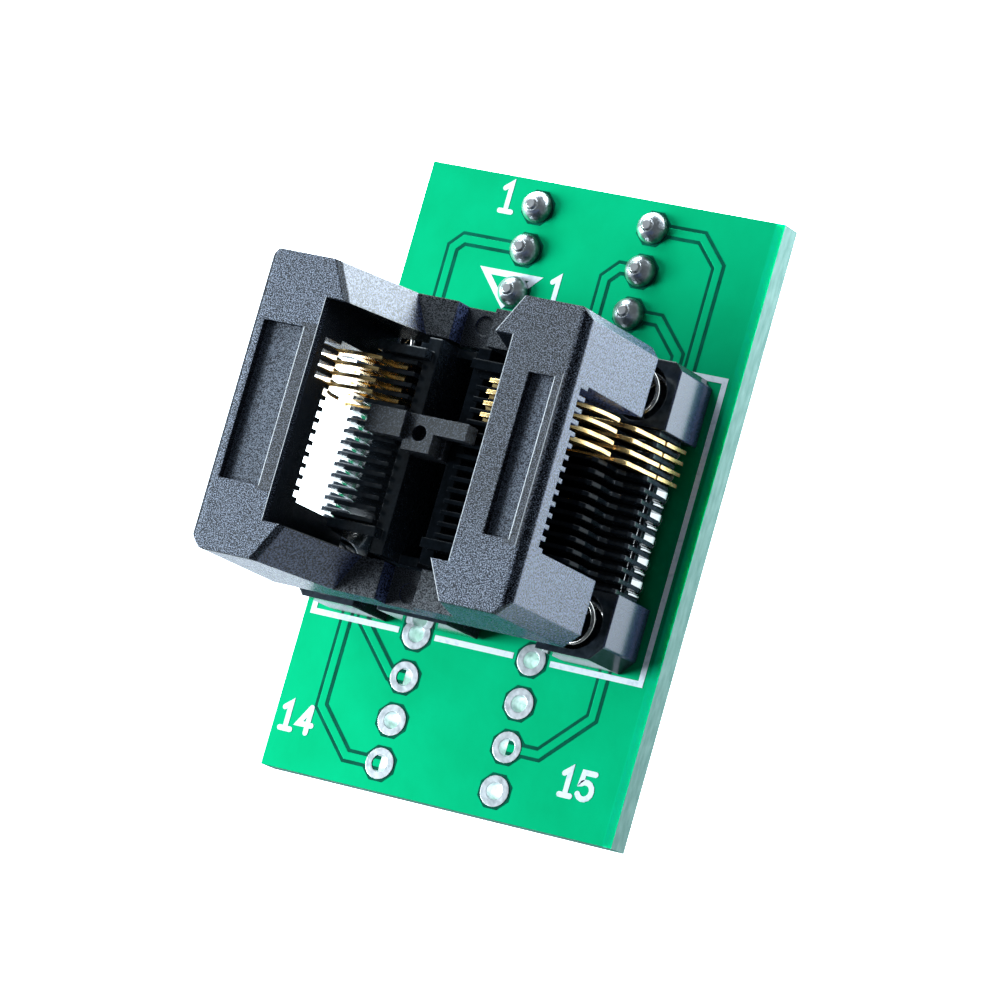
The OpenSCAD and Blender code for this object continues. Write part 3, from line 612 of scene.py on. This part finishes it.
def strip(path, width, top, closed=False, round_ends=False):
    """A flat closed strip, in millimetres from the pin field: a rectangle of that width carried along
    the path, from just inside the board up to the height top above it."""
    path = np.asarray(path, float)
    half = np.full(len(path), width / 2)
    if round_ends:
        turn = np.linspace(0, np.pi / 2, 5)[1:] * 0.96
        first, last = path[0] - path[1], path[-1] - path[-2]
        first, last = first / np.linalg.norm(first), last / np.linalg.norm(last)
        path = np.vstack([path[0] + np.outer(np.sin(turn[::-1]), first) * width / 2, path,
                          path[-1] + np.outer(np.sin(turn), last) * width / 2])
        half = np.concatenate([np.cos(turn[::-1]) * width / 2, half, np.cos(turn) * width / 2])
    side = mitres(path, closed) * half[:, None]
    corners = np.stack([path + side, path + side, path - side, path - side], 1)
    heights = np.broadcast_to([SUNK, top, top, SUNK], corners.shape[:2])
    points = np.dstack([corners, heights]).reshape(-1, 3) * MM + pin_field
    return points, tube_faces(len(path), 4, closed)


# %% [markdown]
# ## Copper tracks
# Seven tracks leave their pads on the visible face and run under the socket. Each one is a raised
# green band between two dark gaps, where the copper around it was etched away. The gaps also run
# round every pad, with eight corners as drawing programs make them.

# %% Tracks and gaps
TRACK_W, GAP_W = 0.44, 0.20
tracks = [
    [(-3.81, 13.97), (-7.95, 13.97), (-8.55, 13.37), (-8.55, 4.6)],
    [(3.81, 16.51), (7.0, 16.51), (8.47, 15.04), (8.47, 4.6)],
    [(3.81, 13.97), (2.4, 13.97), (1.65, 13.22), (1.65, 8.0)],
    [(3.81, 11.43), (5.75, 11.43), (7.5, 9.68), (7.5, 4.6)],
    [(-3.81, -11.43), (-4.75, -11.43), (-7.5, -8.68), (-7.5, -4.6)],
    [(-3.81, -16.51), (-6.1, -16.51), (-8.55, -14.06), (-8.55, -4.6)],
    [(3.81, -13.97), (5.85, -13.97), (8.5, -11.32), (8.5, -4.6)],
]
beside = (TRACK_W + GAP_W) / 2
gaps = [strip(shifted(t, s), GAP_W, GAP_TOP) for t in tracks for s in (beside, -beside)]
gap_lines = new_piece("track_gaps", *gather(gaps), gap_lacquer, "board_and_base")
bands = [strip(t, TRACK_W, TRACK_TOP) for t in tracks]
track_bands = new_piece("tracks", *gather(bands), lacquer, "board_and_base")


# %% Gaps round the pads
def pad_gaps(inner, outer, top, corners=8):
    """Flat rings with corners round all pads at once: angle by cross-section, repeated by place."""
    angle = (np.arange(corners) + 0.5) * 2 * np.pi / corners
    radius = np.array([inner, inner, outer, outer]) / np.cos(np.pi / corners)
    heights = np.broadcast_to([SUNK, top, top, SUNK], (corners, 4))
    ring = np.stack([np.outer(np.cos(angle), radius), np.outer(np.sin(angle), radius), heights], -1)
    x, y = np.meshgrid([-ROW_X, ROW_X], pin_y)
    place = np.stack([x.ravel(), y.ravel(), np.zeros(x.size)], 1)
    points = (ring.reshape(1, -1, 3) + place[:, None]).reshape(-1, 3) * MM + pin_field
    quads = grid_quads(corners, 4, wrap_rows=True)
    points_before = 4 * corners * np.arange(len(place))
    return points, (quads[None] + points_before[:, None, None]).reshape(-1, 4).tolist()


RING_INNER, RING_OUTER = 0.82, 1.02
rings = pad_gaps(RING_INNER, RING_OUTER, RING_TOP)
ring_gaps = new_piece("pad_gaps", *rings, gap_lacquer, "board_and_base")

# %% [markdown]
# ## White print
# The print is a thick white ink: the socket's outline, broken where it would cross a pad, a
# triangle that points at the first pin, and plain pin numbers. Numbers are drawn as strokes of
# even width with round ends, which is how board printing looks, so no font is needed.

# %% Print strokes
ink, tree, shader = start_finish("white_ink", (0.82, 0.86, 0.86), 0.55)
thin_spots = grain(tree, 3000, 3)
tree.links.new(ramp(tree, thin_spots, [(0.3, (0.64, 0.74, 0.80)), (0.5, (0.84, 0.90, 0.97))]),
               shader.inputs["Base Color"])
relief(tree, shader, thin_spots, 0.03 * MM, 0.4)


def arc(cx, cy, rx, ry, start, end, steps=12):
    """Points of an ellipse's arc between two angles in degrees."""
    angle = np.radians(np.linspace(start, end, steps))
    return np.stack([cx + rx * np.cos(angle), cy + ry * np.sin(angle)], 1)


DIGITS = {
    "1": [np.array([(0.12, 0.80), (0.34, 0.98), (0.34, 0.02)]), np.array([(0.12, 0.02), (0.56, 0.02)])],
    "4": [np.array([(0.46, 0.98), (0.06, 0.32), (0.62, 0.32)]), np.array([(0.46, 0.98), (0.46, 0.02)])],
    "5": [np.vstack([[(0.58, 0.98), (0.12, 0.98), (0.08, 0.56)],
                     arc(0.30, 0.33, 0.29, 0.31, 130, -150)])],
}
DIGIT_PITCH, STROKE_STEP = 0.78, 0.003


def number(text, x, y, height, stroke):
    """Strips for each stroke of a number whose lower left corner is at x, y. Strokes of one digit
    differ in height by STROKE_STEP, so that no two lie in one plane where they cross."""
    return [strip(line * height + (x + DIGIT_PITCH * height * i, y), stroke, INK_TOP + STROKE_STEP * k,
                  round_ends=True)
            for i, digit in enumerate(text) for k, line in enumerate(DIGITS[digit])]


# %% Printed marks
LINE_W, ARROW_W = 0.34, 0.36
outline = [
    [(-10.8, 8.75), (-5.0, 8.75)], [(-2.6, 8.75), (2.6, 8.75)],
    [(5.0, 8.75), (10.85, 8.75), (10.85, -8.87), (5.0, -8.87)],
    [(2.6, -8.87), (-2.6, -8.87)], [(-5.0, -8.87), (-10.8, -8.87), (-10.8, 8.75)],
]
arrow = [(-6.02, 12.40), (-4.33, 10.62), (-2.64, 12.40)]
marks = [strip(line, LINE_W, INK_TOP) for line in outline]
marks += [strip(arrow, ARROW_W, INK_TOP, closed=True)]
marks += number("1", -6.45, 15.93, 1.72, 0.3) + number("1", -1.75, 11.15, 1.6, 0.3)
marks += number("14", -11.0, -15.85, 1.55, 0.32) + number("15", 7.6, -15.85, 1.55, 0.32)
new_piece("white_print", *gather(marks), ink, "board_and_base")

# %% [markdown]
# ## Polished webs
# The slots without contacts are closed at their outer end by a web, and the web's sloped face is
# as smooth as glass, so each one shows a small white glint. In every second slot the face is flat
# and the glint a bar; in the others it bulges and the glint is an almond. Both are one formula: a
# profile carried across the slot, pulled back at its sides by the square of the distance.

# %% Web faces
first_low, first_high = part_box("right_contact_1")
next_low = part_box("right_contact_2")[0]
slot_y = (first_low.y + first_high.y) / 2
slot_pitch = first_low.y - next_low.y
WEB_W, WEB_BULGE, SLOTS, FITTED = 0.40, 0.16, 14, 4
web_profile = np.array([(9.10, 0.30), (9.50, 0.30), (9.64, 0.72), (9.14, 2.0), (9.10, 2.0)])


def web_face(i, side):
    """The web's sloped end in slot i: x = side * (profile - bulge * (2 t)^2), with t across the slot."""
    middle = (pin_field[0], slot_y - i * slot_pitch, pin_field[2])
    across = np.linspace(-0.5, 0.5, 9)
    pull = (WEB_BULGE if i % 2 else 0.0) * (2 * across) ** 2
    x = np.maximum(web_profile[None, :, 0] - pull[:, None], web_profile[0, 0])
    y = np.broadcast_to((across * WEB_W)[:, None], x.shape)
    z = np.broadcast_to(web_profile[None, :, 1], x.shape)
    points = np.stack([side * x, y, z], -1).reshape(-1, 3) * MM + middle
    return points, tube_faces(len(across), len(web_profile), closed=False)


polished, tree, shader = start_finish("polished_web", (0.008, 0.010, 0.014), 0.12, specular=1.0)
shader.inputs["IOR"].default_value = 2.2
web_faces = [web_face(i, side) for side in (-1, 1) for i in range(FITTED, SLOTS)]
new_piece("web_ends", *gather(web_faces), polished, "board_and_base")

# %% [markdown]
# ## Return springs
# Four coil springs push the frame up. The CAD springs are coarse, so smooth ones replace them: a
# circle carried along a helix whose first and last turns lie closed, with more rings than the eye
# can count. They shorten as the frame goes down; here each is built at the length of its CAD
# spring and rides on the board and base.

# %% Coil surface
def coil(middle, radius, wire_r, low, high, open_turns, steps=40, sides=12):
    """A wire along a helix: its height rises by little more than one wire in each end turn and evenly
    between, and each ring of the wire is a circle in the plane of the outward and binormal directions."""
    turn = np.linspace(0, open_turns + 2, (open_turns + 2) * steps + 1)
    end_rise = 2.1 * wire_r
    pitch = (high - low - 2 * wire_r - 2 * end_rise) / open_turns
    height = (low + wire_r + end_rise * np.minimum(turn, 1) + pitch * np.clip(turn - 1, 0, open_turns)
              + end_rise * np.maximum(turn - 1 - open_turns, 0))
    angle = 2 * np.pi * turn
    out = np.stack([np.cos(angle), np.sin(angle), np.zeros_like(angle)], 1)
    line = np.array([middle.x, middle.y, 0]) + radius * out + height[:, None] * (0, 0, 1)
    along = np.gradient(line, axis=0)
    along /= np.linalg.norm(along, axis=1, keepdims=True)
    beside = np.cross(along, out)
    around = 2 * np.pi * np.arange(sides) / sides
    points = (line[:, None] + wire_r * (out[:, None] * np.cos(around)[None, :, None]
                                        + beside[:, None] * np.sin(around)[None, :, None]))
    return points.reshape(-1, 3), tube_faces(len(turn), sides, closed=False)


# %% Springs in their pockets
WIRE_R = 0.14 * MM
for i in range(1, 5):
    low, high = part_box(f"return_spring_{i}")
    middle = (low + high) / 2
    radius = (high.x - low.x) / 2 - WIRE_R
    spring = new_piece(f"coil_{i}", *coil(middle, radius, WIRE_R, low.z, high.z, 5), wire,
                       "board_and_base", smooth=True)
    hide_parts(f"return_spring_{i}")
    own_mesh(spring)

# %% [markdown]
# ## Floor, light and camera
# The photograph is a bright table-top picture on a light table: the floor glows, more strongly
# behind the board than in front of it, and that glow is what the frame's upright sides reflect. It
# is weak under the board, as a painted shadow of the board, and fades out farther away, so that it
# doesn't light the whole room.
# One large soft light from the left models the texture on top, and two weak ones keep the far
# sides from going black. The camera stands far away with a long lens, so that the board stays
# nearly free of perspective. Its place and directions were solved from the pin holes in the photo.

# %% Light table
def floor_sheet(size, z):
    """A flat square sheet of four points at height z."""
    x, y = np.meshgrid([-size, size], [-size, size])
    return np.stack([x.ravel(), y.ravel(), np.full(4, z)], 1), [[0, 1, 3, 2]]


COOL = (0.82, 0.93, 1.0)
FRONT_Y, BACK_Y, FRONT_GLOW, BACK_GLOW = -52 * MM, 30 * MM, 0.3, 6.5
EXTRA_END_Y, EXTRA_GLOW = 25 * MM, 1.5
UNDER_START, UNDER_END, UNDER_GLOW = -6 * MM, -3 * MM, 0.2
FADE_START, FADE_END, FAR_GLOW = 75 * MM, 120 * MM, 0.02
paper, tree, shader = start_finish("light_table", (0.93, 0.94, 0.95), 0.6)
x, y = place_on(tree, "X"), place_on(tree, "Y")
rise = {"Value": y, "From Min": FRONT_Y, "From Max": BACK_Y, "To Min": FRONT_GLOW, "To Max": BACK_GLOW}
glow = node(tree, "ShaderNodeMapRange", rise).outputs["Result"]
from_middle_x = size_of(tree, math_node(tree, "SUBTRACT", x, board_middle.x))
from_middle_y = size_of(tree, math_node(tree, "SUBTRACT", y, board_middle.y))
clear_of_board = either(tree, math_node(tree, "SUBTRACT", from_middle_x, half_w),
                        math_node(tree, "SUBTRACT", from_middle_y, half_l))
# Under the board the glow is cut down: a painted shadow of the board.
glow = both(tree, glow, mapped(tree, clear_of_board, UNDER_START, UNDER_END, UNDER_GLOW, 1.0))
away = node(tree, "ShaderNodeVectorMath", {0: node(tree, "ShaderNodeTexCoord").outputs["Object"],
                                           1: board_middle}, operation="DISTANCE").outputs["Value"]
glow = both(tree, glow, mapped(tree, away, FADE_START, FADE_END, 1.0, FAR_GLOW))
glow = both(tree, glow, mapped(tree, y, 0.0, EXTRA_END_Y, 1.0, EXTRA_GLOW))
shader.inputs["Emission Color"].default_value = (*COOL, 1)
tree.links.new(glow, shader.inputs["Emission Strength"])
floor_mesh = bpy.data.meshes.new("floor")
points, faces = floor_sheet(1.5, cad_low.z)
floor_mesh.from_pydata(points.tolist(), [], faces)
floor_mesh.materials.append(paper)
floor = bpy.data.objects.new("floor", floor_mesh)
bpy.context.scene.collection.objects.link(floor)
print("floor at z =", round(cad_low.z / MM, 2), "mm")

# %% Studio lights
scene = bpy.context.scene
scene.view_settings.view_transform = "Standard"
scene.world = bpy.data.worlds.new("studio")
scene.world.use_nodes = True
sky = scene.world.node_tree.nodes["Background"]
sky.inputs["Color"].default_value = (*COOL, 1)
sky.inputs["Strength"].default_value = 0.2
socket_at = Vector((0, -0.012, 0.012))


def soft_light(name, toward, size, watts, distance=0.4):
    """A square area light in a direction from the socket, turned to face it."""
    lamp = bpy.data.lights.new(name, "AREA")
    lamp.shape, lamp.size, lamp.energy, lamp.color = "SQUARE", size, watts, COOL
    made = bpy.data.objects.new(name, lamp)
    made.location = socket_at + Vector(toward).normalized() * distance
    made.rotation_euler = (socket_at - made.location).to_track_quat("-Z", "Y").to_euler()
    scene.collection.objects.link(made)
    print(name, "at", [round(v, 3) for v in made.location])


soft_light("left_light", (-0.8, -0.2, 0.5), 0.2, 3.3)
soft_light("back_light", (-0.45, 0.87, 0.14), 0.2, 1.2)
soft_light("far_light", (-0.6, 0.6, 0.5), 0.2, 0.8)

# %% Camera
CAMERA_AT = (0.16601, -0.05316, 0.29671)
right = Vector((0.851174, 0.271660, -0.449114))
down = Vector((0.181161, -0.955114, -0.234388))
forward = Vector((-0.492629, 0.118143, -0.862182))
camera = bpy.data.objects.new("camera", bpy.data.cameras.new("camera"))
camera.data.sensor_width = 36
camera.data.lens = 216
turn = Matrix((right, -down, -forward)).transposed().to_4x4()
camera.matrix_world = Matrix.Translation(CAMERA_AT) @ turn
scene.collection.objects.link(camera)
scene.camera = camera
print("camera at", [round(v, 4) for v in camera.location])
